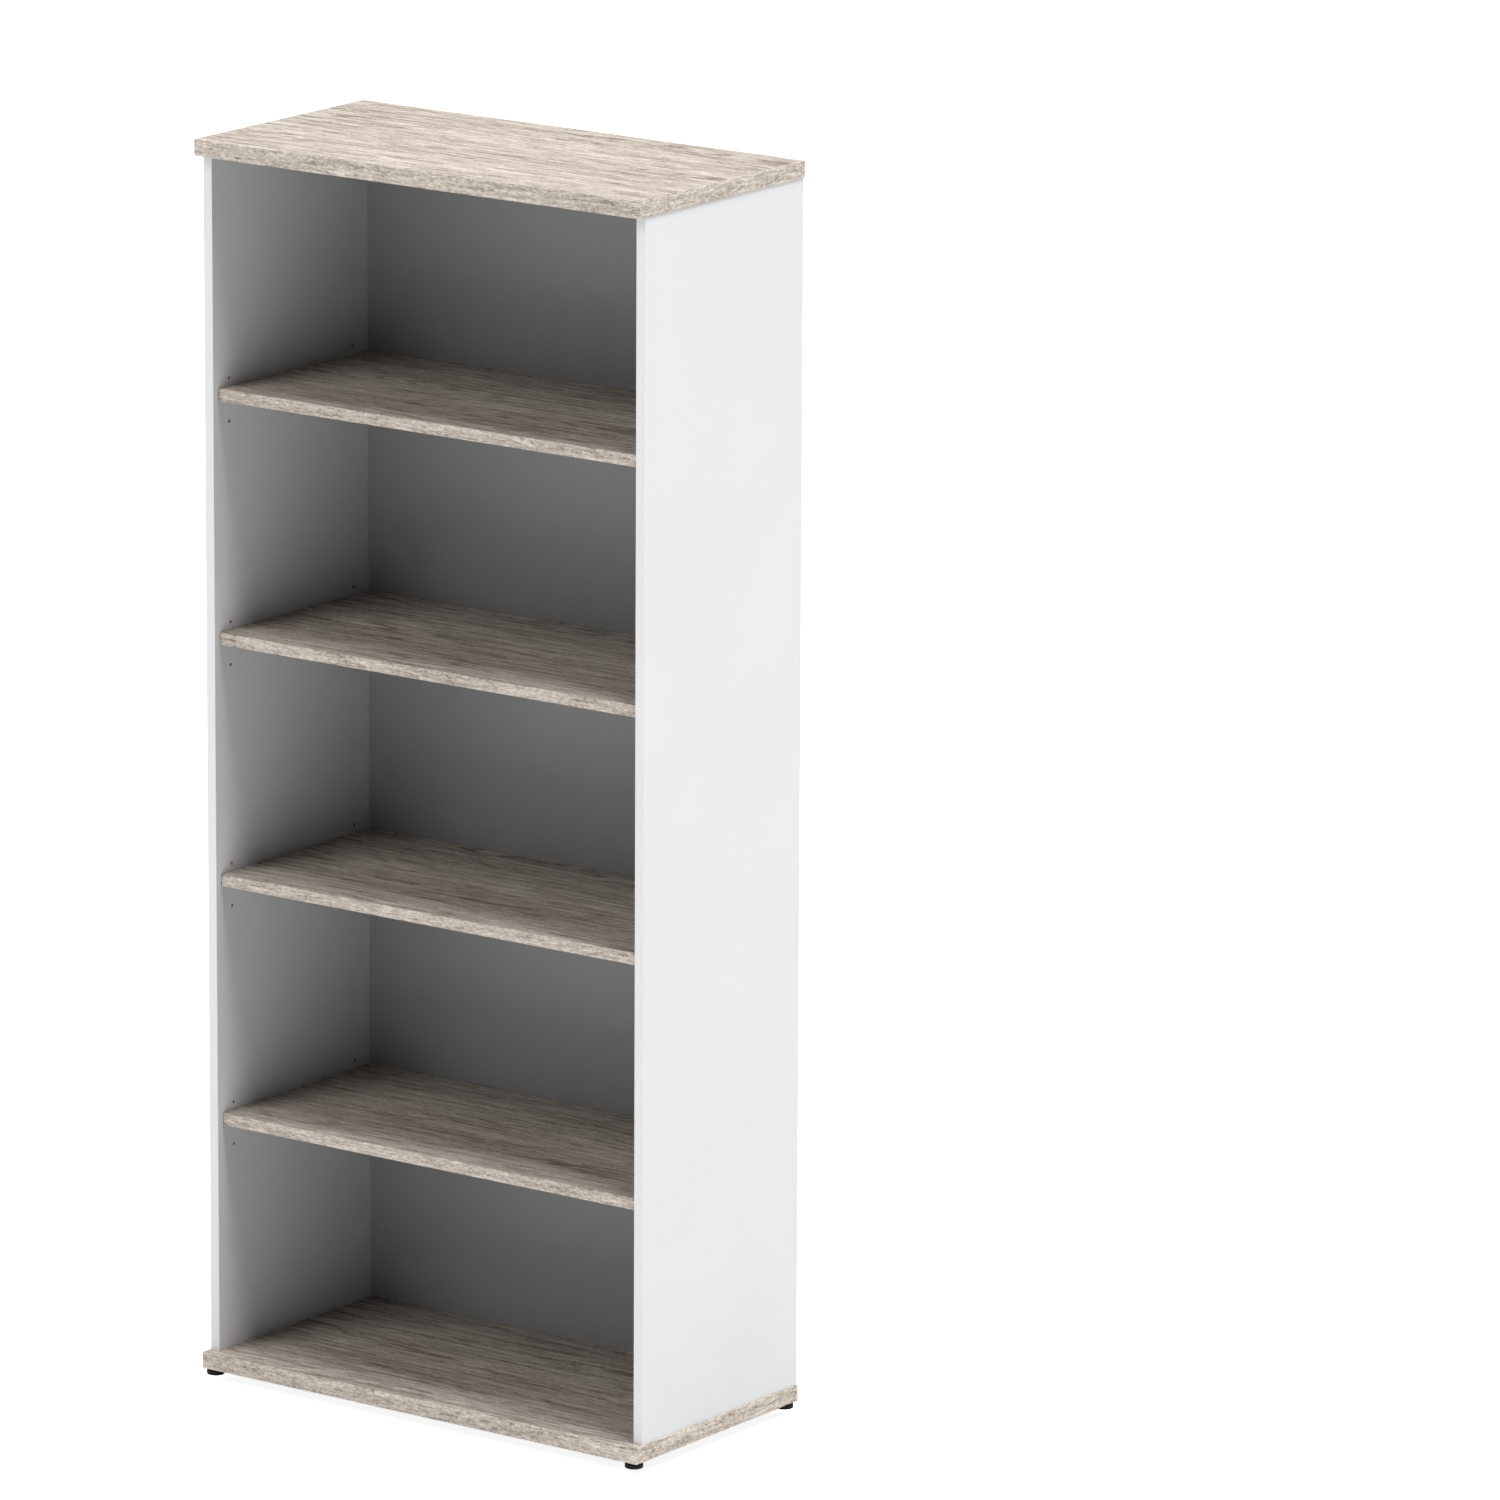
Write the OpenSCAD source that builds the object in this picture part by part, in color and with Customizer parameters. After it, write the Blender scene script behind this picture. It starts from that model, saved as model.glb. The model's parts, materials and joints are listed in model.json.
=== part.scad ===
// Open office bookcase: four loose shelves on pins, top and base panels that
// reach past the sides, a grooved-in back panel and four screw feet.
// Millimetres. +X is to the right, the open front faces -Y, +Z is up, and the
// origin is on the floor under the middle of the top panel.

/* [Overall size] */
// Width over the top and base panels
overall_w = 800; // [600:1:1000]
// Depth over the top and base panels
overall_d = 396; // [320:1:500]
// Height from the floor to the top surface
overall_h = 1856; // [1500:1:2250]

/* [Boards] */
// Thickness of the top and base panels
panel_t = 25; // [20:0.5:32]
// Thickness of the side panels
side_t = 16; // [13:0.5:22]
// Thickness of the shelves
shelf_t = 18; // [15:0.5:25]
// Thickness of the back panel
back_t = 8; // [3:0.5:10]
// Thickness of the edge bands
band_t = 2; // [1:0.1:3]

/* [Layout] */
// How far the top and base reach past the sides, left and right
side_overhang = 2.5; // [1:0.1:5]
// How far the top and base reach past the sides at the front
front_overhang = 17; // [0:0.5:25]
// Distance from the sides' front edges back to the shelves
shelf_setback = 11; // [2:0.5:20]
// Distance from the rear edges forward to the back panel
back_inset = 6; // [2:0.5:15]
// Depth of the grooves that hold the back panel
groove_depth = 6; // [3:0.5:7]
// Clearance at each end of a shelf
shelf_end_gap = 1; // [0.7:0.1:1.3]

/* [Shelf pins] */
// Diameter of the shelf pin holes
pin_hole_d = 5; // [4:0.5:6]
// Distance between neighbouring holes in a row
hole_pitch = 32; // [24:1:40]
// Free holes above and below each shelf pin
spare_holes = 1; // [0:1:3]
// Distance from the sides' front edge and the back panel to the hole rows
hole_inset = 37; // [30:1:50]

/* [Feet] */
// Diameter of a foot's pad
pad_d = 27; // [22:1:40]
// Height of the base panel above the floor
foot_gap = 9; // [8:0.5:16]
// Distance from the base's side edges in to the middle of a foot
foot_inset_x = 14.5; // [14:0.5:60]
// Distance from the base's front and rear edges in to the middle of a foot
foot_inset_y = 13.5; // [13.5:0.5:60]

/* [Hidden] */
$fn = 48;

// Carcass planes, from the floor and the middle outwards
half_w = overall_w / 2;
half_d = overall_d / 2;
base_top = foot_gap + panel_t;
top_under = overall_h - panel_t;
side_outer = half_w - side_overhang;
side_inner = side_outer - side_t;
side_front = -half_d + front_overhang;
side_h = top_under - base_top;
back_rear = half_d - back_inset;
back_front = back_rear - back_t;

// Grooves, a little wider and deeper than the back panel
groove_play = 0.1;
groove_end_gap = 0.5;
back_half_w = side_inner + groove_depth - groove_end_gap;
groove_half_w = side_inner + groove_depth;

// Shelves, evenly spread between base and top
shelf_count = 4;
compartment_h = (side_h - shelf_count * shelf_t) / (shelf_count + 1);
shelf_half_w = side_inner - shelf_end_gap;
shelf_front = side_front + shelf_setback;
shelf_back_gap = 1;
shelf_rear = back_front - shelf_back_gap;
function shelf_under(number) =
    base_top + compartment_h + (shelf_count - number) * (compartment_h + shelf_t);

// Shelf pins: a peg, a round collar and a lug with a flat top
pin_play = 0.05;
peg_r = pin_hole_d / 2 - pin_play;
peg_length = 10.5;
hole_depth = 11.5;
collar_r = 4;
collar_t = 0.6;
lug_length = 9;
lug_w = 7;
lug_tip_h = 1.5;
lug_root_h = 6;
front_row = side_front + hole_inset;
rear_row = back_front - hole_inset;
function pin_level(number) = shelf_under(number) - pin_hole_d / 2;

// Dowels that join the sides to the top and base
dowel_r = 4;
dowel_play = 0.05;
dowel_in_panel = 12;
dowel_in_side = 20;
dowel_end_gap = 1;
dowel_edge = 55;
dowel_rows = [side_front + dowel_edge, (side_front + back_front) / 2, back_front - dowel_edge];

// Feet: a moulded pad, a stud held in it and a threaded insert in the base
foot_x = half_w - foot_inset_x;
foot_front = -half_d + foot_inset_y;
foot_rear = half_d - foot_inset_y;
hex_t = 2;
pad_h = foot_gap - hex_t;
pad_r = pad_d / 2;
pad_round = 1.8;
head_r = 5;
head_t = 2.2;
pad_floor_t = 1.8;
swivel_play = 0.3;
stud_r = 4;
stud_play = 0.06;
hex_r = 7.5;
hex_sides = 6;
insert_r = 5.5;
insert_play = 0.05;
foot_hole_roof = 2;
foot_hole_depth = panel_t - groove_depth - foot_hole_roof;
insert_length = foot_hole_depth - 4;
stud_top = foot_gap + foot_hole_depth - 1;

// Edge band: its two outer corners are rounded along their length
band_round = 0.8;
cut = 1;

oak = [0.80, 0.75, 0.69];
white = [0.94, 0.94, 0.95];
grey = [0.72, 0.72, 0.73];
beech = [0.82, 0.68, 0.48];
steel = [0.74, 0.74, 0.76];
black = [0.06, 0.06, 0.06];
black_zinc = [0.16, 0.16, 0.17];

// A box from its low corner to its high corner
module block(low, high) {
    translate(low)
        cube(high - low);
}

// Cross-section of an edge band: flat at the back, outer corners rounded
module band_section(height) {
    flat_t = band_t - band_round;
    square([flat_t, height]);
    translate([0, band_round])
        square([band_t, height - 2 * band_round]);
    for (y = [band_round, height - band_round])
        translate([flat_t, y])
            circle(r = band_round);
}

// A band that lies along +X and faces -Y, with its back on y = 0
module band_along_x(length, height) {
    rotate([90, 0, 90])
        translate([0, 0, -length / 2])
            linear_extrude(length)
                mirror([1, 0])
                    band_section(height);
}

// Holes for the dowels of both sides, or the dowels themselves
module dowel_set(level, below, above, radius) {
    for (side = [-1, 1], row = dowel_rows)
        translate([side * (side_outer - side_t / 2), row, level - below])
            cylinder(r = radius, h = below + above);
}

// Board of the top panel or the base panel between its bands
module banded_board(bottom) {
    block([-half_w + band_t, -half_d + band_t, bottom],
          [half_w - band_t, half_d - band_t, bottom + panel_t]);
}

// Groove for one end of the back panel
module back_groove(low, high) {
    block([-groove_half_w, back_front - groove_play, low],
          [groove_half_w, back_rear + groove_play, high]);
}

module top_panel() {
    color(oak)
        difference() {
            banded_board(top_under);
            back_groove(top_under - cut, top_under + groove_depth);
            dowel_set(top_under, cut, dowel_in_panel + dowel_end_gap, dowel_r + dowel_play);
        }
}

module base_panel() {
    color(oak)
        difference() {
            banded_board(foot_gap);
            back_groove(base_top - groove_depth, base_top + cut);
            dowel_set(base_top, dowel_in_panel + dowel_end_gap, cut, dowel_r + dowel_play);
            for (x = [-foot_x, foot_x], y = [foot_front, foot_rear])
                translate([x, y, foot_gap - cut])
                    cylinder(r = insert_r + insert_play, h = foot_hole_depth + cut);
        }
}

// Front or rear band of the top or base; facing is -1 at the front, 1 at the rear
module long_band(bottom, facing) {
    color(oak)
        translate([0, facing * (half_d - band_t), bottom])
            rotate([0, 0, facing > 0 ? 180 : 0])
                band_along_x(overall_w, panel_t);
}

// Left or right band of the top or base, between the front and rear bands
module short_band(bottom, side) {
    color(oak)
        translate([side * (half_w - band_t), 0, bottom])
            rotate([0, 0, side * 90])
                band_along_x(overall_d - 2 * band_t, panel_t);
}

// Side panel with its groove, dowel holes and rows of shelf pin holes
module side_panel(side) {
    pin_rows = [front_row, rear_row];
    inner = side * side_inner;
    outer = side * side_outer;
    color(white)
        difference() {
            block([min(inner, outer), side_front + band_t, base_top],
                  [max(inner, outer), half_d, top_under]);
            back_groove(base_top - cut, top_under + cut);
            dowel_set(base_top, cut, dowel_in_side + dowel_end_gap, dowel_r + dowel_play);
            dowel_set(top_under, dowel_in_side + dowel_end_gap, cut, dowel_r + dowel_play);
            for (number = [1 : shelf_count], step = [-spare_holes : spare_holes], row = pin_rows)
                translate([side * (side_inner - cut), row, pin_level(number) + step * hole_pitch])
                    rotate([0, side * 90, 0])
                        cylinder(d = pin_hole_d, h = hole_depth + cut);
        }
}

module side_band(side) {
    color(white)
        translate([side * (side_outer - side_t / 2) - side_t / 2, side_front + band_t, base_top])
            linear_extrude(side_h)
                rotate([0, 0, -90])
                    band_section(side_t);
}

module back_panel() {
    color(grey)
        block([-back_half_w, back_front, base_top - groove_depth + groove_end_gap],
              [back_half_w, back_rear, top_under + groove_depth - groove_end_gap]);
}

module top_dowels() {
    color(beech)
        dowel_set(top_under, dowel_in_side, dowel_in_panel, dowel_r);
}

module base_dowels() {
    color(beech)
        dowel_set(base_top, dowel_in_panel, dowel_in_side, dowel_r);
}

module shelf_board(number) {
    bottom = shelf_under(number);
    color(oak)
        block([-shelf_half_w, shelf_front + band_t, bottom],
              [shelf_half_w, shelf_rear, bottom + shelf_t]);
}

module shelf_band(number) {
    color(oak)
        translate([0, shelf_front + band_t, shelf_under(number)])
            band_along_x(2 * shelf_half_w, shelf_t);
}

// Shelf pin in its hole; side is -1 for left and 1 for right
module shelf_pin(number, side, row) {
    rest = pin_hole_d / 2;
    color(steel)
        translate([side * side_inner, row, pin_level(number)])
            mirror([side > 0 ? 1 : 0, 0, 0]) {
                translate([-peg_length, 0, 0])
                    rotate([0, 90, 0])
                        cylinder(r = peg_r, h = peg_length);
                intersection() {
                    rotate([0, 90, 0])
                        cylinder(r = collar_r, h = collar_t);
                    block([-cut, -collar_r, -collar_r - cut], [collar_t + cut, collar_r, rest]);
                }
                rotate([90, 0, 0])
                    linear_extrude(lug_w, center = true)
                        polygon([[0, rest], [0, rest - lug_root_h],
                                 [lug_length, rest - lug_tip_h], [lug_length, rest]]);
            }
}

// Moulded pad with a closed socket for the stud's head
module foot_pad(x, y) {
    socket_top = pad_floor_t + head_t + swivel_play;
    color(black)
        translate([x, y, 0])
            rotate_extrude()
                difference() {
                    union() {
                        square([pad_r - pad_round, pad_h]);
                        translate([0, pad_round])
                            square([pad_r, pad_h - 2 * pad_round]);
                        for (z = [pad_round, pad_h - pad_round])
                            translate([pad_r - pad_round, z])
                                circle(r = pad_round);
                    }
                    translate([0, pad_floor_t])
                        square([head_r + swivel_play, socket_top - pad_floor_t]);
                    translate([0, pad_floor_t])
                        square([stud_r + swivel_play, pad_h]);
                }
}

// Stud with a head in the pad, a thin hexagon under the base and a grooved thread
module foot_stud(x, y) {
    color(black_zinc)
        translate([x, y, 0]) {
            translate([0, 0, pad_floor_t + swivel_play / 2])
                cylinder(r = head_r, h = head_t);
            translate([0, 0, pad_floor_t + swivel_play / 2])
                cylinder(r = stud_r, h = stud_top - pad_floor_t - swivel_play / 2);
            translate([0, 0, pad_h])
                cylinder(r = hex_r, h = hex_t, $fn = hex_sides);
        }
}

module foot_insert(x, y) {
    color(steel)
        translate([x, y, foot_gap])
            difference() {
                cylinder(r = insert_r, h = insert_length);
                translate([0, 0, -cut])
                    cylinder(r = stud_r + stud_play, h = insert_length + 2 * cut);
            }
}

top_panel();
long_band(top_under, -1);  // top_front_band
long_band(top_under, 1);  // top_rear_band
short_band(top_under, -1);  // top_left_band
short_band(top_under, 1);  // top_right_band
base_panel();
long_band(foot_gap, -1);  // base_front_band
long_band(foot_gap, 1);  // base_rear_band
short_band(foot_gap, -1);  // base_left_band
short_band(foot_gap, 1);  // base_right_band
side_panel(-1);  // left_side_panel
side_band(-1);  // left_side_band
side_panel(1);  // right_side_panel
side_band(1);  // right_side_band
back_panel();
top_dowels();
base_dowels();
for (number = [1 : shelf_count]) {
    shelf = str("shelf_", number);
    shelf_board(number);
    shelf_band(number);
    shelf_pin(number, -1, front_row);
    shelf_pin(number, 1, front_row);
    shelf_pin(number, -1, rear_row);
    shelf_pin(number, 1, rear_row);
}
for (place = [["front_left", -foot_x, foot_front], ["front_right", foot_x, foot_front],
              ["rear_left", -foot_x, foot_rear], ["rear_right", foot_x, foot_rear]]) {
    foot_pad(place[1], place[2]);
    foot_stud(place[1], place[2]);
    foot_insert(place[1], place[2]);
}
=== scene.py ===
import json
import math

import bmesh
import bpy
from mathutils import Matrix, Vector


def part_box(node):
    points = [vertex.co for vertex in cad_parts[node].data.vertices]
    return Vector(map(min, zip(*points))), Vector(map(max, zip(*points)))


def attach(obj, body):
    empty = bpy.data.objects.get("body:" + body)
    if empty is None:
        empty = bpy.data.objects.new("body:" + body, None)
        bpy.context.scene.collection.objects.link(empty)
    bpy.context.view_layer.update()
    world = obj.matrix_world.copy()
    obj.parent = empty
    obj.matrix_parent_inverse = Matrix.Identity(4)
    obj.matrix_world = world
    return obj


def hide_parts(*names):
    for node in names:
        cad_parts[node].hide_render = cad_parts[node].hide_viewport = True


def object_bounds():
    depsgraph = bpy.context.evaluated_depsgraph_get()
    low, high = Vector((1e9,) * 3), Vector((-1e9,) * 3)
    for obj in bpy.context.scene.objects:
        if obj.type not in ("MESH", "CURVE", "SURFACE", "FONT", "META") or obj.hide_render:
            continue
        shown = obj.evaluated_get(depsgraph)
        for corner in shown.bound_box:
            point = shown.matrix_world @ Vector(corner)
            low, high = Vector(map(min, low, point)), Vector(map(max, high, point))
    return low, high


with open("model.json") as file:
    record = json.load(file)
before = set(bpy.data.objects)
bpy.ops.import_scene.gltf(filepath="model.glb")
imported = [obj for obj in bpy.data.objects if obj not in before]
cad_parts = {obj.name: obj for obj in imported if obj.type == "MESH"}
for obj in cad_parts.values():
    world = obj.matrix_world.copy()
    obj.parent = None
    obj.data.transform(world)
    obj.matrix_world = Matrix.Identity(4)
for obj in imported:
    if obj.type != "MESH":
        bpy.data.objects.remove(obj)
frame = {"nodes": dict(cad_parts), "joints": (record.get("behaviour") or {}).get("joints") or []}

nodes = frame["nodes"]
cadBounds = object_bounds()
mm = 0.001
tiny = 1e-6  # places closer than this are the same
print("frame loaded:", len(nodes), "nodes")


# camera: long lens from the front right, a little above the top
view = {
    "azimuth": 37.19,
    "elevation": 13.64,
    "distance": 16.239,
    "lens": 268.6,
    "sensor": 36,
    "shiftX": 0.1532,  # the object stands left of the frame's middle
    "aim": (0.0333, 0.0085, 0.9734),
    "clipEnd": 400,  # past the floor's far edge
}


# a camera or lamp that stands away from a point and looks back at it
def placeLooking(name, data, azimuth, elevation, distance, aim=(0, 0, 0)):
    turn = math.radians(azimuth)
    lift = math.radians(elevation)
    away = Vector((math.sin(turn) * math.cos(lift), -math.cos(turn) * math.cos(lift), math.sin(lift)))
    item = bpy.data.objects.new(name, data)
    item.location = Vector(aim) + away * distance
    item.rotation_euler = (-away).to_track_quat("-Z", "Y").to_euler()
    bpy.context.scene.collection.objects.link(item)
    return item


def addCamera():
    data = bpy.data.cameras.new("camera")
    data.lens = view["lens"]
    data.sensor_width = view["sensor"]
    data.shift_x = view["shiftX"]
    data.clip_end = view["clipEnd"]
    bpy.context.scene.camera = placeLooking(
        "camera", data, view["azimuth"], view["elevation"], view["distance"], view["aim"])


addCamera()
print("camera placed")


# small helpers for node trees; a value is a number, a colour or another node's output
def feed(tree, socket, value):
    if isinstance(value, bpy.types.NodeSocket):
        tree.links.new(value, socket)
    else:
        socket.default_value = value


def addNode(tree, kind, inputs=None, **settings):
    node = tree.nodes.new(kind)
    for name, value in settings.items():
        setattr(node, name, value)
    for name, value in (inputs or {}).items():
        feed(tree, node.inputs[name], value)
    return node


def mathNode(tree, operation, first, second=0.0):
    return addNode(tree, "ShaderNodeMath", {0: first, 1: second}, operation=operation).outputs[0]


def vectorNode(tree, operation, first, second):
    return addNode(tree, "ShaderNodeVectorMath", {0: first, 1: second}, operation=operation).outputs[0]


def mixColour(tree, factor, first, second):
    node = addNode(tree, "ShaderNodeMix", data_type="RGBA")
    sockets = {socket.identifier: socket for socket in node.inputs}
    for name, value in (("Factor_Float", factor), ("A_Color", first), ("B_Color", second)):
        feed(tree, sockets[name], value)
    return next(socket for socket in node.outputs if socket.identifier == "Result_Color")


def spread(tree, value, fromLow, fromHigh, toLow=0.0, toHigh=1.0):
    node = addNode(tree, "ShaderNodeMapRange", {
        "Value": value,
        "From Min": fromLow,
        "From Max": fromHigh,
        "To Min": toLow,
        "To Max": toHigh,
    }, interpolation_type="SMOOTHSTEP")
    return node.outputs["Result"]


def plainNoise(tree, vector, scale, detail, roughness=0.5):
    node = addNode(tree, "ShaderNodeTexNoise", {
        "Vector": vector,
        "Scale": scale,
        "Detail": detail,
        "Roughness": roughness,
    })
    return node.outputs["Fac"]


def stretchedNoise(tree, vector, along, across, detail, roughness=0.55):
    scaled = vectorNode(tree, "MULTIPLY", vector, (along, across, across))
    return plainNoise(tree, scaled, 1.0, detail, roughness)


# the noises' swings about their mean, each times its weight, added up
def sumSwings(tree, terms, noiseMean=0.5):
    total = 0.0
    for noise, weight in terms:
        swing = mathNode(tree, "MULTIPLY", mathNode(tree, "SUBTRACT", noise, noiseMean), weight)
        total = mathNode(tree, "ADD", swing, total)
    return total


def newGroup(name, inputs, outputs):
    group = bpy.data.node_groups.new(name, "ShaderNodeTree")
    for label, kind, value in inputs:
        socket = group.interface.new_socket(label, in_out="INPUT", socket_type=kind)
        if value is not None:
            socket.default_value = value
    for label, kind in outputs:
        group.interface.new_socket(label, in_out="OUTPUT", socket_type=kind)
    return group, group.nodes.new("NodeGroupInput"), group.nodes.new("NodeGroupOutput")


def placeGroup(tree, group, inputs):
    return addNode(tree, "ShaderNodeGroup", inputs, node_tree=group)


def newMaterial(name):
    material = bpy.data.materials.new(name)
    material.use_nodes = True
    tree = material.node_tree
    shader = tree.nodes["Principled BSDF"]
    position = tree.nodes.new("ShaderNodeTexCoord").outputs["Object"]
    return material, tree, shader, position


def addBump(tree, shader, height, strength, distance):
    bump = addNode(tree, "ShaderNodeBump", {"Height": height, "Strength": strength, "Distance": distance})
    feed(tree, shader.inputs["Normal"], bump.outputs["Normal"])


# grey oak print: each layer's repeats a metre, along and across the grain
oakLayers = {
    "bands": {"along": 1.8, "across": 30, "detail": 2},
    "streaks": {"along": 5.5, "across": 140, "detail": 4, "roughness": 0.62},
    "fibres": {"along": 17, "across": 260, "detail": 4, "roughness": 0.7},
    "hairs": {"along": 32, "across": 900, "detail": 3, "roughness": 0.6},
    "mottle": {"along": 30, "across": 150, "detail": 6, "roughness": 0.72},
    "grit": {"along": 120, "across": 330, "detail": 6, "roughness": 0.78},
    "hills": {"along": 1.6, "across": 15, "detail": 2, "roughness": 0.35},
    "ringPatches": {"along": 2.6, "across": 13, "detail": 3},
    "hearts": {"along": 2.3, "across": 34, "detail": 4, "roughness": 0.62},
    "pores": {"along": 60, "across": 1150, "detail": 2},
}
oakFigure = {
    "swayNoise": {"along": 2.2, "across": 9.0, "detail": 3},
    "sway": 0.045,  # how far the grain wanders sideways
    "bandWeight": 0.5,
    "streakWeight": 2.1,
    "fibreWeight": 1.15,
    "hairWeight": 0.4,
    "ringCount": 88.0,  # over the whole height of the hills
    "ringRange": (0.2, 1.0),
    "ringPatchRange": (0.47, 0.68),
    "ringDepth": 0.4,
    "heartRange": (0.6, 0.84),
    "heartDepth": 0.6,
    "knotCells": (2.3, 5.2, 5.2),  # a metre, along and across the grain
    "knotRange": (0.02, 0.085, 1.0, 0.0),
    "knotDepth": 0.4,
    "middleTone": 0.5,
    "darkToMiddle": (-0.12, 0.56),
    "middleToLight": (0.42, 1.05),
    "poreRange": (0.6, 0.7, 0.0, 0.4),
    "fibreHeight": 0.7,
    "roughnessRange": (0.0, 1.0, 0.62, 0.44),
}


def makeOakGrain():
    group, given, result = newGroup(
        "oakGrain",
        [
            ("Vector", "NodeSocketVector", None),
            ("Light", "NodeSocketColor", (0.8, 0.7, 0.6, 1)),
            ("Middle", "NodeSocketColor", (0.57, 0.5, 0.43, 1)),
            ("Dark", "NodeSocketColor", (0.3, 0.25, 0.2, 1)),
            ("Figure", "NodeSocketFloat", 1.0),
            ("Streaks", "NodeSocketFloat", 1.0),
            ("Mottle", "NodeSocketFloat", 0.5),
            ("Grit", "NodeSocketFloat", 0.5),
        ],
        [("Color", "NodeSocketColor"), ("Roughness", "NodeSocketFloat"), ("Height", "NodeSocketFloat")],
    )
    wanted = given.outputs
    straight = wanted["Vector"]
    wander = stretchedNoise(group, straight, **oakFigure["swayNoise"])
    sway = sumSwings(group, [(wander, oakFigure["sway"])])
    shift = addNode(group, "ShaderNodeCombineXYZ", {"Y": sway, "Z": sway}).outputs[0]
    vector = vectorNode(group, "ADD", straight, shift)
    layers = {name: stretchedNoise(group, vector, **layer) for name, layer in oakLayers.items()}

    # growth rings are the level lines of a long, narrow hill field
    level = mathNode(group, "MULTIPLY", layers["hills"], oakFigure["ringCount"])
    rings = spread(group, mathNode(group, "SINE", level), *oakFigure["ringRange"])
    where = spread(group, layers["ringPatches"], *oakFigure["ringPatchRange"])
    rings = mathNode(group, "MULTIPLY", rings, where)
    hearts = spread(group, layers["hearts"], *oakFigure["heartRange"])

    # a small knot here and there
    cells = vectorNode(group, "MULTIPLY", vector, oakFigure["knotCells"])
    knots = addNode(group, "ShaderNodeTexVoronoi", {"Vector": cells, "Scale": 1.0}).outputs["Distance"]
    knots = spread(group, knots, *oakFigure["knotRange"])

    figure = sumSwings(group, [
        (layers["bands"], oakFigure["bandWeight"]),
        (layers["streaks"], oakFigure["streakWeight"]),
    ])
    tone = sumSwings(group, [
        (layers["fibres"], oakFigure["fibreWeight"]),
        (layers["hairs"], oakFigure["hairWeight"]),
        (layers["mottle"], wanted["Mottle"]),
        (layers["grit"], wanted["Grit"]),
    ])
    tone = mathNode(group, "ADD", tone, oakFigure["middleTone"])
    tone = mathNode(group, "ADD", tone, mathNode(group, "MULTIPLY", figure, wanted["Figure"]))
    marks = 0.0
    for mark, depth in ((rings, "ringDepth"), (hearts, "heartDepth"), (knots, "knotDepth")):
        marks = mathNode(group, "ADD", mathNode(group, "MULTIPLY", mark, oakFigure[depth]), marks)
    tone = mathNode(group, "SUBTRACT", tone, mathNode(group, "MULTIPLY", marks, wanted["Streaks"]))

    darkToMiddle = spread(group, tone, *oakFigure["darkToMiddle"])
    middleToLight = spread(group, tone, *oakFigure["middleToLight"])
    pores = spread(group, layers["pores"], *oakFigure["poreRange"])
    colour = mixColour(group, darkToMiddle, wanted["Dark"], wanted["Middle"])
    colour = mixColour(group, middleToLight, colour, wanted["Light"])
    colour = mixColour(group, pores, colour, wanted["Dark"])
    height = mathNode(group, "MULTIPLY", layers["fibres"], oakFigure["fibreHeight"])
    feed(group, result.inputs["Color"], colour)
    feed(group, result.inputs["Roughness"], spread(group, tone, *oakFigure["roughnessRange"]))
    feed(group, result.inputs["Height"], mathNode(group, "SUBTRACT", height, pores))
    return group


# raw chipboard, where no melamine or band covers a board
chipCore = {
    "chipScale": 420.0,
    "dustScale": 900.0,
    "dustDetail": 3.0,
    "dustRange": (0.5, 0.7, 0.0, 0.5),
    "dark": (0.46, 0.35, 0.235, 1),
    "light": (0.68, 0.56, 0.41, 1),
    "dust": (0.27, 0.19, 0.12, 1),
}


def makeChipboard():
    group, given, result = newGroup(
        "chipboard",
        [("Vector", "NodeSocketVector", None)],
        [("Color", "NodeSocketColor"), ("Height", "NodeSocketFloat")],
    )
    vector = given.outputs["Vector"]
    chips = addNode(group, "ShaderNodeTexVoronoi", {"Vector": vector, "Scale": chipCore["chipScale"]})
    shade = addNode(group, "ShaderNodeSeparateColor", {"Color": chips.outputs["Color"]}).outputs["Red"]
    dust = plainNoise(group, vector, chipCore["dustScale"], chipCore["dustDetail"])
    dust = spread(group, dust, *chipCore["dustRange"])
    colour = mixColour(group, shade, chipCore["dark"], chipCore["light"])
    colour = mixColour(group, dust, colour, chipCore["dust"])
    feed(group, result.inputs["Color"], colour)
    feed(group, result.inputs["Height"], chips.outputs["Distance"])
    return group


# fine pebble texture of pressed melamine, with faint unevenness in its sheen
skinPress = {
    "pebbleNoise": {"scale": 620.0, "detail": 3.0, "roughness": 0.6},
    "cloudNoise": {"scale": 5.0, "detail": 4.0},
    "speckRange": (0.35, 0.75, 0.0, 0.05),
    "speck": (0.45, 0.45, 0.46, 1),
    "cloudRange": (0.3, 0.7, 0.0, 0.05),
    "cloud": (0.62, 0.62, 0.64, 1),
    "roughnessRange": (0.25, 0.75, 0.36, 0.48),
}


def makeMelamine():
    group, given, result = newGroup(
        "melamine",
        [("Vector", "NodeSocketVector", None), ("Colour", "NodeSocketColor", (0.8, 0.8, 0.8, 1))],
        [("Color", "NodeSocketColor"), ("Roughness", "NodeSocketFloat"), ("Height", "NodeSocketFloat")],
    )
    pebble = plainNoise(group, given.outputs["Vector"], **skinPress["pebbleNoise"])
    cloud = plainNoise(group, given.outputs["Vector"], **skinPress["cloudNoise"])
    speck = spread(group, pebble, *skinPress["speckRange"])
    cloudy = spread(group, cloud, *skinPress["cloudRange"])
    colour = mixColour(group, speck, given.outputs["Colour"], skinPress["speck"])
    colour = mixColour(group, cloudy, colour, skinPress["cloud"])
    feed(group, result.inputs["Color"], colour)
    feed(group, result.inputs["Roughness"], spread(group, cloud, *skinPress["roughnessRange"]))
    feed(group, result.inputs["Height"], pebble)
    return group


oakGrain = makeOakGrain()
chipboard = makeChipboard()
melamine = makeMelamine()

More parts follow.
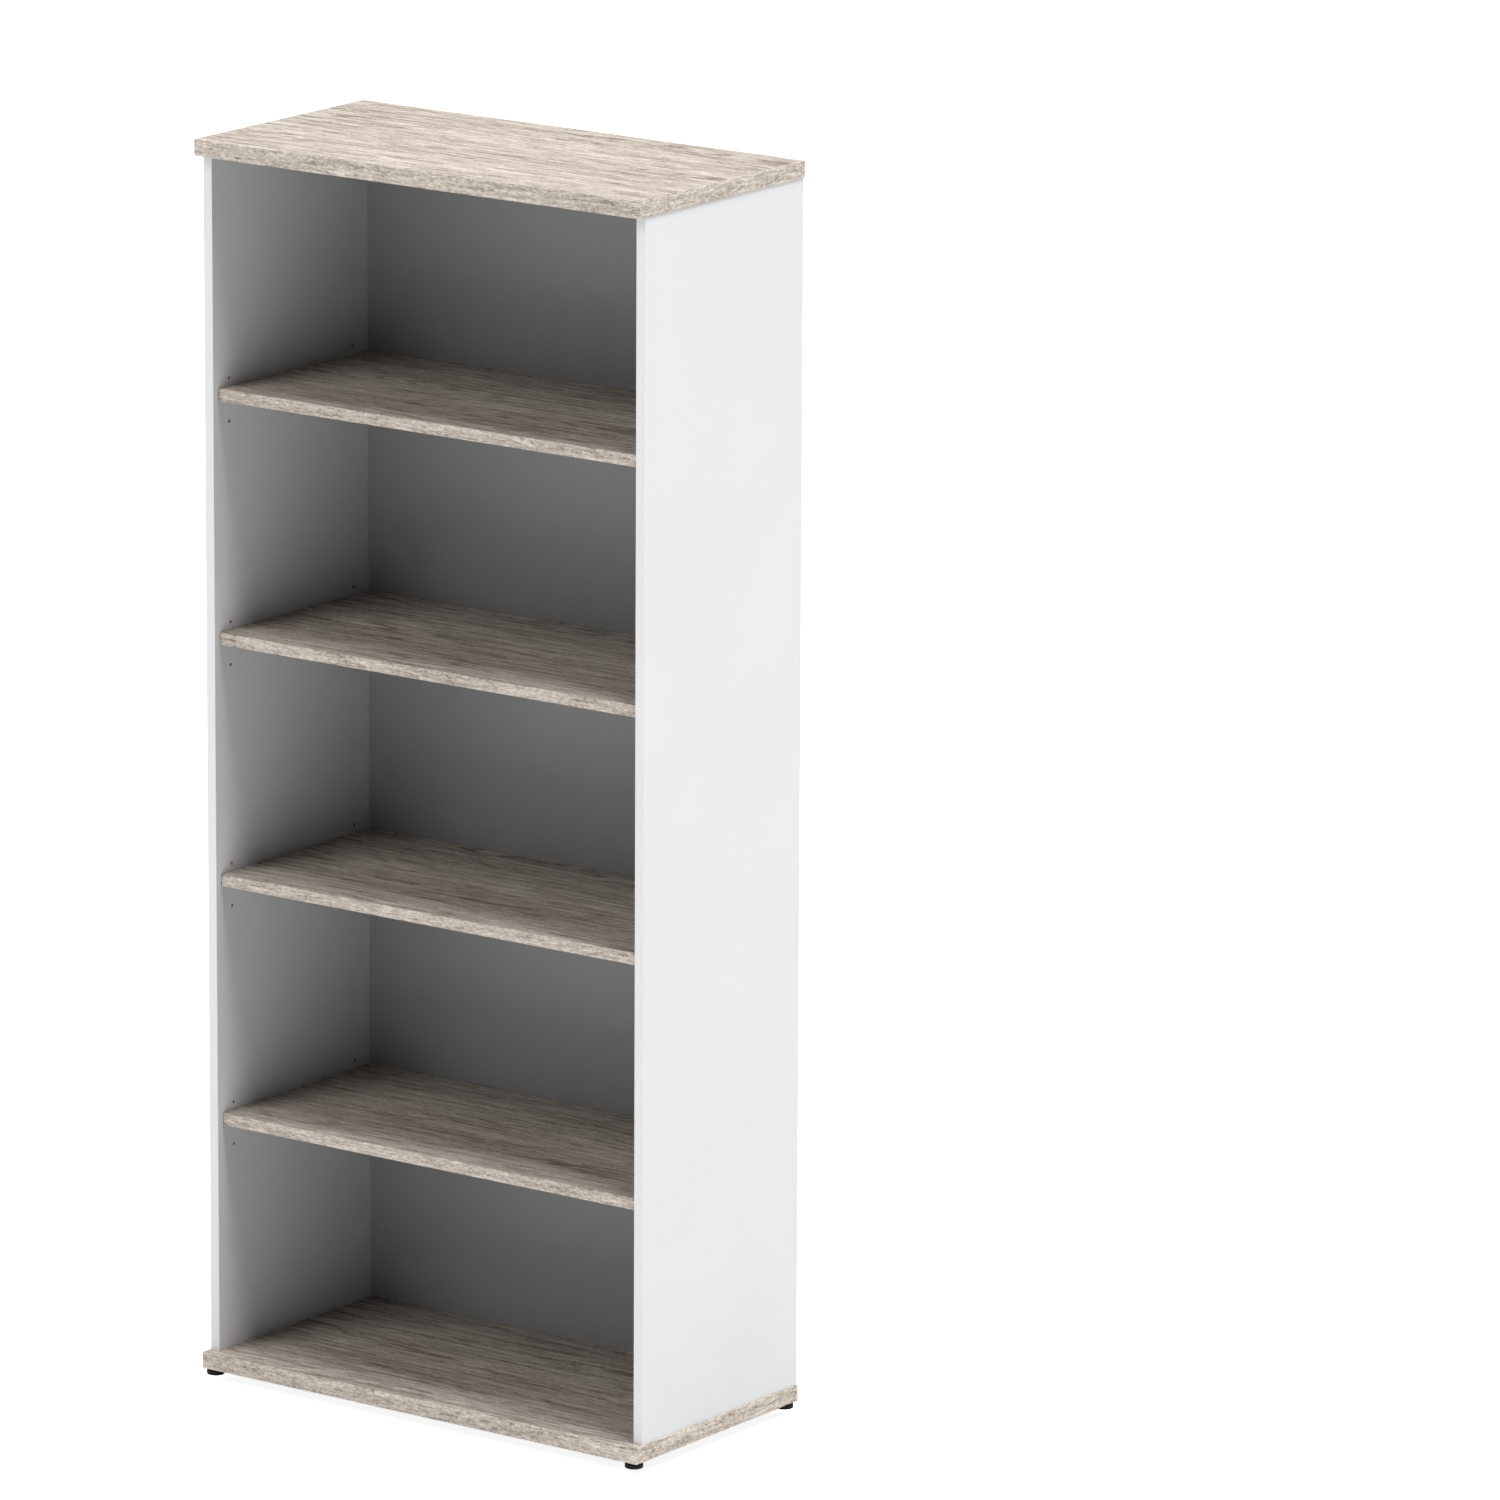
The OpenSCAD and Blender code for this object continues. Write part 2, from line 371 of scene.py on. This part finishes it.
oak = {
    "light": (0.86, 0.775, 0.69, 1),
    "middle": (0.60, 0.525, 0.455, 1),
    "dark": (0.245, 0.2, 0.16, 1),
    "sheen": 0.3,
    "boardMottle": 1.4,
    "boardGrit": 1.9,
    "boardRoughness": (0, 1, 0.85, 0.5),  # from raw chipboard to the printed face
    "boardBump": (0.35, 0.25 * mm),
    "bandFigure": 0.4,
    "bandStreaks": 0.3,
    "bandMottle": 1.2,
    "bandGrit": 2.8,
    "bandBump": (0.3, 0.2 * mm),
}
melamineSkin = {
    "white": (0.87, 0.875, 0.885, 1),
    # the band's white is painted lighter than the board's, as painted light making up for the shade on the
    # front edges low down
    "whiteBand": (0.93, 0.93, 0.935, 1),
    # the back panel's grey: a grey board, set this dark partly as painted shade for the deep inside of the
    # case
    "grey": (0.41, 0.41, 0.415, 1),
    "glue": (0.45, 0.45, 0.46, 1),
    "glueRange": (0.0, 0.4 * mm, 0.8, 0.0),
    "boardBump": (0.12, 0.1 * mm),
    "bandBump": (0.08, 0.1 * mm),
}


def lighten(colour, tone):
    return tuple(min(1.0, channel * tone) for channel in colour[:3]) + (1,)


# 1 on faces that look along the axis and lie at one of the places on it
def faceMask(tree, position, axis, places, slack=0.4 * mm, square=0.9):
    normal = addNode(tree, "ShaderNodeNewGeometry").outputs["Normal"]
    turned = addNode(tree, "ShaderNodeSeparateXYZ", {0: normal}).outputs[axis]
    place = addNode(tree, "ShaderNodeSeparateXYZ", {0: position}).outputs[axis]
    facing = mathNode(tree, "GREATER_THAN", mathNode(tree, "ABSOLUTE", turned), square)
    near = 0.0
    for value in places:
        gap = mathNode(tree, "ABSOLUTE", mathNode(tree, "SUBTRACT", place, value))
        near = mathNode(tree, "MAXIMUM", mathNode(tree, "LESS_THAN", gap, slack), near)
    return mathNode(tree, "MULTIPLY", facing, near)


def grainVector(tree, position, turn, offset):
    return addNode(tree, "ShaderNodeMapping", {
        "Vector": position,
        "Location": offset,
        "Rotation": (0, 0, turn),
    }).outputs["Vector"]


# oak-faced board: grain on its broad faces, chipboard in grooves, holes and raw ends
def oakBoard(name, faces, offset):
    material, tree, shader, position = newMaterial(name)
    grain = placeGroup(tree, oakGrain, {
        "Vector": grainVector(tree, position, 0, offset),
        "Light": oak["light"],
        "Middle": oak["middle"],
        "Dark": oak["dark"],
        "Mottle": oak["boardMottle"],
        "Grit": oak["boardGrit"],
    }).outputs
    raw = placeGroup(tree, chipboard, {"Vector": position}).outputs
    faced = faceMask(tree, position, "Z", faces)
    feed(tree, shader.inputs["Base Color"], mixColour(tree, faced, raw["Color"], grain["Color"]))
    feed(tree, shader.inputs["Roughness"], spread(tree, faced, *oak["boardRoughness"]))
    feed(tree, shader.inputs["Specular IOR Level"], oak["sheen"])
    addBump(tree, shader, mathNode(tree, "MULTIPLY", grain["Height"], faced), *oak["boardBump"])
    return material


# printed edge band; turn sets its grain along the band, tone lightens the print as painted light against the
# shade on some bands
def oakBand(name, turn, offset, tone=1.0):
    material, tree, shader, position = newMaterial(name)
    grain = placeGroup(tree, oakGrain, {
        "Vector": grainVector(tree, position, turn, offset),
        "Light": lighten(oak["light"], tone),
        "Middle": lighten(oak["middle"], tone),
        "Dark": oak["dark"],
        "Figure": oak["bandFigure"],
        "Streaks": oak["bandStreaks"],
        "Mottle": oak["bandMottle"],
        "Grit": oak["bandGrit"],
    }).outputs
    feed(tree, shader.inputs["Base Color"], grain["Color"])
    feed(tree, shader.inputs["Roughness"], grain["Roughness"])
    feed(tree, shader.inputs["Specular IOR Level"], oak["sheen"])
    addBump(tree, shader, grain["Height"], *oak["bandBump"])
    return material


# gives a material the melamine's sheen and pebble, and returns its colour
def addSkin(tree, shader, position, colour, bump):
    skin = placeGroup(tree, melamine, {"Vector": position, "Colour": colour}).outputs
    feed(tree, shader.inputs["Roughness"], skin["Roughness"])
    addBump(tree, shader, skin["Height"], *bump)
    return skin["Color"]


def whiteBoard(name, faces):
    material, tree, shader, position = newMaterial(name)
    skin = addSkin(tree, shader, position, melamineSkin["white"], melamineSkin["boardBump"])
    raw = placeGroup(tree, chipboard, {"Vector": position}).outputs["Color"]
    faced = faceMask(tree, position, "X", faces)
    feed(tree, shader.inputs["Base Color"], mixColour(tree, faced, raw, skin))
    return material


# white band with a faint glue line where it meets the board
def whiteBand(name, jointY):
    material, tree, shader, position = newMaterial(name)
    skin = addSkin(tree, shader, position, melamineSkin["whiteBand"], melamineSkin["bandBump"])
    place = addNode(tree, "ShaderNodeSeparateXYZ", {0: position}).outputs["Y"]
    gap = mathNode(tree, "ABSOLUTE", mathNode(tree, "SUBTRACT", place, jointY))
    glue = spread(tree, gap, *melamineSkin["glueRange"])
    feed(tree, shader.inputs["Base Color"], mixColour(tree, glue, skin, melamineSkin["glue"]))
    return material


def backBoard():
    material, tree, shader, position = newMaterial("backMelamine")
    skin = addSkin(tree, shader, position, melamineSkin["grey"], melamineSkin["boardBump"])
    feed(tree, shader.inputs["Base Color"], skin)
    return material


beech = {
    "dark": (0.62, 0.42, 0.24, 1),
    "light": (0.78, 0.58, 0.37, 1),
    "grain": {"scale": 260, "detail": 3, "roughness": 0.55},
    "roughness": 0.75,
}


def beechDowel():
    material, tree, shader, position = newMaterial("beechDowel")
    grain = plainNoise(tree, position, **beech["grain"])
    feed(tree, shader.inputs["Base Color"], mixColour(tree, grain, beech["dark"], beech["light"]))
    feed(tree, shader.inputs["Roughness"], beech["roughness"])
    return material


# plating: cloudy where it has dulled, with fine scratches
plating = {
    "fineNoise": {"scale": 1600.0, "detail": 4.0},
    "broadNoise": {"scale": 190.0, "detail": 3.0},
    "dullness": 0.7,
    "dullRange": (0.4, 0.75, 0, 0.6),
    "roughnessRange": (0.3, 0.7),
    "roughnessSwing": 0.15,
    "scratchDepth": 0.05 * mm,
}


def plated(name, colour, roughness, scratch):
    material, tree, shader, position = newMaterial(name)
    fine = plainNoise(tree, position, **plating["fineNoise"])
    broad = plainNoise(tree, position, **plating["broadNoise"])
    dull = tuple(plating["dullness"] * channel for channel in colour[:3]) + (1,)
    dulled = spread(tree, broad, *plating["dullRange"])
    rough = spread(tree, broad, *plating["roughnessRange"], roughness, roughness + plating["roughnessSwing"])
    feed(tree, shader.inputs["Base Color"], mixColour(tree, dulled, colour, dull))
    feed(tree, shader.inputs["Metallic"], 1.0)
    feed(tree, shader.inputs["Roughness"], rough)
    addBump(tree, shader, fine, scratch, plating["scratchDepth"])
    return material


# moulded black plastic with a fine grit and paler scuffs
plastic = {
    "gritNoise": {"scale": 1300.0, "detail": 3.0},
    "scuffNoise": {"scale": 150.0, "detail": 4.0},
    "colour": (0.004, 0.004, 0.004, 1),
    "scuff": (0.015, 0.015, 0.016, 1),
    "scuffRange": (0.5, 0.8, 0, 0.35),
    "roughnessRange": (0.3, 0.7, 0.34, 0.52),
    "sheen": 0.25,
    "bump": (0.25, 0.08 * mm),
}


def mouldedBlack():
    material, tree, shader, position = newMaterial("mouldedBlack")
    grit = plainNoise(tree, position, **plastic["gritNoise"])
    scuff = plainNoise(tree, position, **plastic["scuffNoise"])
    scuffed = spread(tree, scuff, *plastic["scuffRange"])
    feed(tree, shader.inputs["Base Color"], mixColour(tree, scuffed, plastic["colour"], plastic["scuff"]))
    feed(tree, shader.inputs["Roughness"], spread(tree, scuff, *plastic["roughnessRange"]))
    feed(tree, shader.inputs["Specular IOR Level"], plastic["sheen"])
    addBump(tree, shader, grit, *plastic["bump"])
    return material


# where each board's print is cut from, so that no two boards repeat; bandPaintedLight lightens the same band
# print as painted light, a little on the top's bands and more on the base's, which lie in shade near the
# floor
carcassPrint = {
    "top": {
        "offset": (-0.168, -0.026, 0),
        "longBand": (0.4, 0, 0.2),
        "shortBand": (0, 0.9, 0.6),
        "bandPaintedLight": 1.06,
    },
    "base": {
        "offset": (3.7, 3.7, 0),
        "longBand": (4.1, 3.7, 0.2),
        "shortBand": (3.7, 4.6, 0.6),
        "bandPaintedLight": 1.15,
    },
}
shelfPrintStep = (1.3, 0.7, 0)
quarterTurn = math.radians(90)
sides = ("left", "right")
shelfNumbers = (1, 2, 3, 4)


def dress(name, material):
    slots = nodes[name].data.materials
    slots.clear()
    slots.append(material)


def broadFaces(name):
    return [corner.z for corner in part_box(name)]


def dressCarcass():
    for part, cut in carcassPrint.items():
        panel = part + "_panel"
        dress(panel, oakBoard(part + "Oak", broadFaces(panel), cut["offset"]))
        along = oakBand(part + "BandLong", 0, cut["longBand"], cut["bandPaintedLight"])
        across = oakBand(part + "BandShort", quarterTurn, cut["shortBand"], cut["bandPaintedLight"])
        for edge in ("front", "rear"):
            dress(f"{part}_{edge}_band", along)
        for side in sides:
            dress(f"{part}_{side}_band", across)
    for side in sides:
        faces = [corner.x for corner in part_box(side + "_side_panel")]
        dress(side + "_side_panel", whiteBoard(side + "White", faces))
        dress(side + "_side_band", whiteBand(side + "WhiteBand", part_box(side + "_side_band")[1].y))
    dress("back_panel", backBoard())
    dowels = beechDowel()
    dress("top_dowels", dowels)
    dress("base_dowels", dowels)


def dressShelves():
    for number in shelfNumbers:
        board = f"shelf_{number}_board"
        offset = [number * step for step in shelfPrintStep]
        dress(board, oakBoard(f"shelf{number}Oak", broadFaces(board), offset))
        dress(f"shelf_{number}_band", oakBand(f"shelf{number}Band", 0, offset))


dressCarcass()
dressShelves()
print("boards and bands dressed")

nickel = plated("nickel", (0.72, 0.70, 0.66, 1), roughness=0.24, scratch=0.15)
darkZinc = plated("darkZinc", (0.075, 0.075, 0.08, 1), roughness=0.32, scratch=0.2)
yellowZinc = plated("zinc", (0.62, 0.58, 0.46, 1), roughness=0.3, scratch=0.2)
padBlack = mouldedBlack()
corners = [(depth, side) for depth in ("front", "rear") for side in sides]

mergeGap = 1e-7  # vertices closer than this are merged
smoothAngle = math.radians(35)


# turns a finished bmesh into a piece that rides on a node's body and stands for the node
def finishPiece(mesh, name, material, node):
    bmesh.ops.remove_doubles(mesh, verts=mesh.verts[:], dist=mergeGap)
    bmesh.ops.recalc_face_normals(mesh, faces=mesh.faces[:])
    data = bpy.data.meshes.new(name)
    mesh.to_mesh(data)
    mesh.free()
    data.materials.append(material)
    data.shade_smooth()
    data.set_sharp_from_angle(angle=smoothAngle)
    piece = bpy.data.objects.new(name, data)
    bpy.context.scene.collection.objects.link(piece)
    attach(piece, node)
    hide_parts(node)


def bevelEdges(mesh, edges, width, segments):
    bmesh.ops.bevel(mesh, geom=edges, offset=width, offset_type="OFFSET", segments=segments,
                    profile=0.5, affect="EDGES", material=-1, clamp_overlap=True)


# an upright cylinder between two heights
def addRound(mesh, radius, bottom, top, segments=48):
    made = bmesh.ops.create_cone(mesh, cap_ends=True, cap_tris=False, segments=segments,
                                 radius1=radius, radius2=radius, depth=top - bottom)
    bmesh.ops.translate(mesh, verts=made["verts"], vec=(0, 0, (bottom + top) / 2))
    return made["verts"]


# the edges of the circles that have this radius and lie at these heights
def rimEdges(mesh, radius, heights):
    def lies(vert, height):
        return abs(vert.co.z - height) < tiny and abs(vert.co.xy.length - radius) < tiny

    return [
        edge for edge in mesh.edges
        if any(all(lies(vert, height) for vert in edge.verts) for height in heights)
    ]


def joinInto(mesh, other):
    scratch = bpy.data.meshes.new("scratch")
    other.to_mesh(scratch)
    other.free()
    mesh.from_mesh(scratch)
    bpy.data.meshes.remove(scratch)


# pressed-steel shelf pin: peg, collar with a flat top, and a lug under the shelf
shelfPin = {
    "pegRadius": 2.45 * mm,
    "pegLength": 10.5 * mm,
    "pegRoot": 0.2 * mm,  # runs on into the collar
    "pegTip": 0.7 * mm,
    "tipSteps": 3,
    "collarRadius": 4.0 * mm,
    "collarThickness": 0.6 * mm,
    "collarEdge": 0.2 * mm,
    "collarSteps": 2,
    "rest": 2.5 * mm,  # from the peg's axis up to the shelf
    "play": 0.03 * mm,  # between the steel and the shelf
    "lugLength": 9.0 * mm,
    "lugWidth": 7.0 * mm,
    "lugRoot": 6.0 * mm,
    "lugTip": 1.5 * mm,
    "lugEdge": 0.3 * mm,
    "lugSteps": 3,
}


# built along +Z out of the panel, with +Y up, then laid along X
def makeShelfPin(node, side):
    size = shelfPin
    flat = size["rest"] - size["play"]
    mesh = bmesh.new()
    addRound(mesh, size["pegRadius"], -size["pegLength"], size["pegRoot"])
    tip = rimEdges(mesh, size["pegRadius"], [-size["pegLength"]])
    bevelEdges(mesh, tip, size["pegTip"], size["tipSteps"])

    collar = bmesh.new()
    addRound(collar, size["collarRadius"], 0, size["collarThickness"])
    rim = rimEdges(collar, size["collarRadius"], [size["collarThickness"]])
    bevelEdges(collar, rim, size["collarEdge"], size["collarSteps"])
    cut = bmesh.ops.bisect_plane(collar, geom=collar.verts[:] + collar.edges[:] + collar.faces[:],
                                 plane_co=(0, flat, 0), plane_no=(0, 1, 0), clear_outer=True)
    border = [item for item in cut["geom_cut"] if isinstance(item, bmesh.types.BMEdge)]
    bmesh.ops.contextual_create(collar, geom=border)
    joinInto(mesh, collar)

    lug = bmesh.new()
    outline = (
        (0, flat),
        (0, size["rest"] - size["lugRoot"]),
        (size["lugLength"], size["rest"] - size["lugTip"]),
        (size["lugLength"], flat),
    )
    verts = [lug.verts.new((-size["lugWidth"] / 2, height, reach)) for reach, height in outline]
    grown = bmesh.ops.extrude_face_region(lug, geom=[lug.faces.new(verts)])
    moved = [item for item in grown["geom"] if isinstance(item, bmesh.types.BMVert)]
    bmesh.ops.translate(lug, verts=moved, vec=(size["lugWidth"], 0, 0))
    bevelEdges(lug, lug.edges[:], size["lugEdge"], size["lugSteps"])
    joinInto(mesh, lug)

    lowest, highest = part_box(node)
    wall = lowest.x + size["pegLength"] if side == "left" else highest.x - size["pegLength"]
    inward = 1 if side == "left" else -1
    lay = Matrix(((0, 0, inward), (-inward, 0, 0), (0, 1, 0))).to_4x4()
    place = Matrix.Translation((wall, (lowest.y + highest.y) / 2, highest.z - size["rest"])) @ lay
    bmesh.ops.transform(mesh, matrix=place, verts=mesh.verts[:])
    finishPiece(mesh, node + "_steel", nickel, node)


for number in shelfNumbers:
    for depth, side in corners:
        makeShelfPin(f"shelf_{number}_pin_{depth}_{side}", side)
print("shelf pins made")


# moulded foot pad: rounded disc, shallow groove round its rim, ring recess below
footPad = {
    "radius": 13.5 * mm,
    "height": 7.0 * mm,
    "floor": 1.8 * mm,
    "socketRadius": 5.3 * mm,
    "socketTop": 4.3 * mm,
    "neckRadius": 4.3 * mm,
    "recessInner": 6.0 * mm,
    "recessOuter": 10.5 * mm,
    "recessDepth": 0.7 * mm,
    "recessSlope": 0.2 * mm,
    "grooveDepth": 0.25 * mm,
    "grooveSpan": (0.42, 0.46, 0.52, 0.56),  # its two edges and its floor, over the height
    "rounding": 1.7 * mm,
    "roundingSteps": 5,
    "steps": 72,
}


def lathe(mesh, outline, steps):
    verts = [mesh.verts.new((radius, 0, height)) for radius, height in outline]
    edges = [mesh.edges.new(pair) for pair in zip(verts, verts[1:])]
    bmesh.ops.spin(mesh, geom=verts + edges, cent=(0, 0, 0), axis=(0, 0, 1),
                   angle=math.tau, steps=steps, use_merge=True)
    bmesh.ops.remove_doubles(mesh, verts=mesh.verts[:], dist=mergeGap)
    bmesh.ops.dissolve_degenerate(mesh, edges=mesh.edges[:], dist=mergeGap / 10)


def makeFootPad(node):
    size = footPad
    radius, height, slope = size["radius"], size["height"], size["recessSlope"]
    grooveStart, grooveLow, grooveHigh, grooveEnd = (height * share for share in size["grooveSpan"])
    mesh = bmesh.new()
    outline = [
        (0, 0),
        (size["recessInner"], 0),
        (size["recessInner"] + slope, size["recessDepth"]),
        (size["recessOuter"] - slope, size["recessDepth"]),
        (size["recessOuter"], 0),
        (radius, 0),
        (radius, grooveStart),
        (radius - size["grooveDepth"], grooveLow),
        (radius - size["grooveDepth"], grooveHigh),
        (radius, grooveEnd),
        (radius, height),
        (size["neckRadius"], height),
        (size["neckRadius"], size["socketTop"]),
        (size["socketRadius"], size["socketTop"]),
        (size["socketRadius"], size["floor"]),
        (0, size["floor"]),
    ]
    lathe(mesh, outline, size["steps"])
    bevelEdges(mesh, rimEdges(mesh, radius, [0, height]), size["rounding"], size["roundingSteps"])
    lowest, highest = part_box(node)
    centre = (lowest + highest) / 2
    bmesh.ops.translate(mesh, verts=mesh.verts[:], vec=(centre.x, centre.y, lowest.z))
    finishPiece(mesh, node + "_moulded", padBlack, node)


# stud: head held in the pad, thin hexagon, and a rolled thread
footStud = {
    "coreRadius": 3.5 * mm,
    "crestRadius": 4.0 * mm,
    "rootRadius": 3.4 * mm,  # the thread's root lies inside the core
    "tipEdge": 0.6 * mm,
    "headRadius": 5.0 * mm,
    "headHeight": 2.2 * mm,
    "hexRadius": 7.5 * mm,
    "hexHeight": 2.0 * mm,
    "hexSides": 6,
    "hexTurn": math.radians(30),
    "hexEdge": 0.2 * mm,
    "edgeSteps": 2,
    "padHeight": 7.0 * mm,
    "pitch": 1.25 * mm,
    "threadHalf": 0.42,  # half of a thread's foot, over the pitch
    "stepsPerTurn": 24,
}


# a ridge wound round the core, one pitch short of both heights
def makeThread(bottom, top):
    size = footStud
    pitch, root = size["pitch"], size["rootRadius"]
    half = pitch * size["threadHalf"]
    steps = round((top - bottom - 2 * pitch) / pitch * size["stepsPerTurn"])
    start = bottom + pitch
    outline = ((root, start - half), (size["crestRadius"], start), (root, start + half))
    thread = bmesh.new()
    verts = [thread.verts.new((radius, 0, height)) for radius, height in outline]
    edges = [thread.edges.new((verts[i - 1], verts[i])) for i in range(len(verts))]
    swept = bmesh.ops.spin(thread, geom=verts + edges, cent=(0, 0, 0), axis=(0, 0, 1),
                           angle=math.tau * steps / size["stepsPerTurn"], steps=steps,
                           dvec=(0, 0, pitch / size["stepsPerTurn"]))
    last = [item for item in swept["geom_last"] if isinstance(item, bmesh.types.BMEdge)]
    bmesh.ops.contextual_create(thread, geom=last)
    bmesh.ops.contextual_create(thread, geom=edges)
    return thread


def makeFootStud(node):
    size = footStud
    lowest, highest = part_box(node)
    centre = (lowest + highest) / 2
    shoulder = size["padHeight"] + size["hexHeight"]
    mesh = bmesh.new()
    addRound(mesh, size["headRadius"], lowest.z, lowest.z + size["headHeight"])
    addRound(mesh, size["coreRadius"], lowest.z, highest.z)
    tip = rimEdges(mesh, size["coreRadius"], [highest.z])
    bevelEdges(mesh, tip, size["tipEdge"], size["edgeSteps"])
    hexagon = bmesh.new()
    plate = addRound(hexagon, size["hexRadius"], size["padHeight"], shoulder, size["hexSides"])
    bmesh.ops.rotate(hexagon, verts=plate, cent=(0, 0, 0), matrix=Matrix.Rotation(size["hexTurn"], 3, "Z"))
    bevelEdges(hexagon, hexagon.edges[:], size["hexEdge"], size["edgeSteps"])
    joinInto(mesh, hexagon)
    joinInto(mesh, makeThread(shoulder, highest.z))
    bmesh.ops.translate(mesh, verts=mesh.verts[:], vec=(centre.x, centre.y, 0))
    finishPiece(mesh, node + "_threaded", darkZinc, node)


for depth, side in corners:
    makeFootPad(f"foot_pad_{depth}_{side}")
    makeFootStud(f"foot_stud_{depth}_{side}")
    dress(f"foot_insert_{depth}_{side}", yellowZinc)
print("feet made")


# floor and studio light
studio = {
    "floorSize": 160,  # so wide that its edge never shows
    "floorColour": (0.93, 0.93, 0.93, 1),
    "floorRoughness": 0.8,
    "floorSheen": 0.1,
    "glowColour": (1, 1, 1, 1),
    "floorGlow": 0.9,  # seen by the camera only, so the shadows under the base stay faint
    "worldColour": (1.0, 1.0, 1.0, 1),
    "worldStrength": 0.12,
    "worldMirrored": 0.2,  # what polished metal mirrors
    "lampDistance": 6,
    "softness": math.radians(30),  # across each lamp, as wide as a large softbox
    "bounces": 1,
}


def addFloor():
    # it lies as low as the feet reach when they are let right down
    reach = min(joint["range_m"][0] for joint in frame["joints"] if joint["name"].startswith("level_foot"))
    mesh = bmesh.new()
    bmesh.ops.create_grid(mesh, x_segments=1, y_segments=1, size=studio["floorSize"] / 2)
    bmesh.ops.translate(mesh, verts=mesh.verts[:], vec=(0, 0, cadBounds[0].z + reach))
    data = bpy.data.meshes.new("floor")
    mesh.to_mesh(data)
    mesh.free()
    floor = bpy.data.objects.new("floor", data)
    bpy.context.scene.collection.objects.link(floor)
    material, tree, shader = newMaterial("floor")[:3]
    seen = tree.nodes.new("ShaderNodeLightPath").outputs["Is Camera Ray"]
    feed(tree, shader.inputs["Base Color"], studio["floorColour"])
    feed(tree, shader.inputs["Roughness"], studio["floorRoughness"])
    feed(tree, shader.inputs["Specular IOR Level"], studio["floorSheen"])
    feed(tree, shader.inputs["Emission Color"], studio["glowColour"])
    feed(tree, shader.inputs["Emission Strength"], mathNode(tree, "MULTIPLY", seen, studio["floorGlow"]))
    data.materials.append(material)


def addWorld():
    world = bpy.data.worlds.new("studio")
    world.use_nodes = True
    tree = world.node_tree
    background = tree.nodes["Background"]
    rays = tree.nodes.new("ShaderNodeLightPath").outputs
    mirrored = mathNode(tree, "MULTIPLY", rays["Is Glossy Ray"], studio["worldMirrored"])
    strength = mathNode(tree, "MAXIMUM", rays["Is Camera Ray"], mirrored)
    strength = mathNode(tree, "MAXIMUM", strength, studio["worldStrength"])
    feed(tree, background.inputs["Color"], studio["worldColour"])
    feed(tree, background.inputs["Strength"], strength)
    bpy.context.scene.world = world


# strength 1 brings a white card facing the lamp to full white
lamps = {
    "highRight": {"azimuth": 95, "elevation": 68, "strength": 0.86},
    "front": {"azimuth": -20, "elevation": 45, "strength": 0.27},
    "left": {"azimuth": -100, "elevation": 45, "strength": 0.25},
    "rear": {"azimuth": 180, "elevation": 45, "strength": 0.05},
}


def addLamp(name, lamp):
    data = bpy.data.lights.new(name, "SUN")
    data.energy = lamp["strength"] * math.pi
    data.angle = studio["softness"]
    placeLooking(name, data, lamp["azimuth"], lamp["elevation"], studio["lampDistance"])


addFloor()
addWorld()
for name, lamp in lamps.items():
    addLamp(name, lamp)
bpy.context.scene.view_settings.view_transform = "Standard"
bpy.context.scene.cycles.diffuse_bounces = studio["bounces"]
print("studio lit")
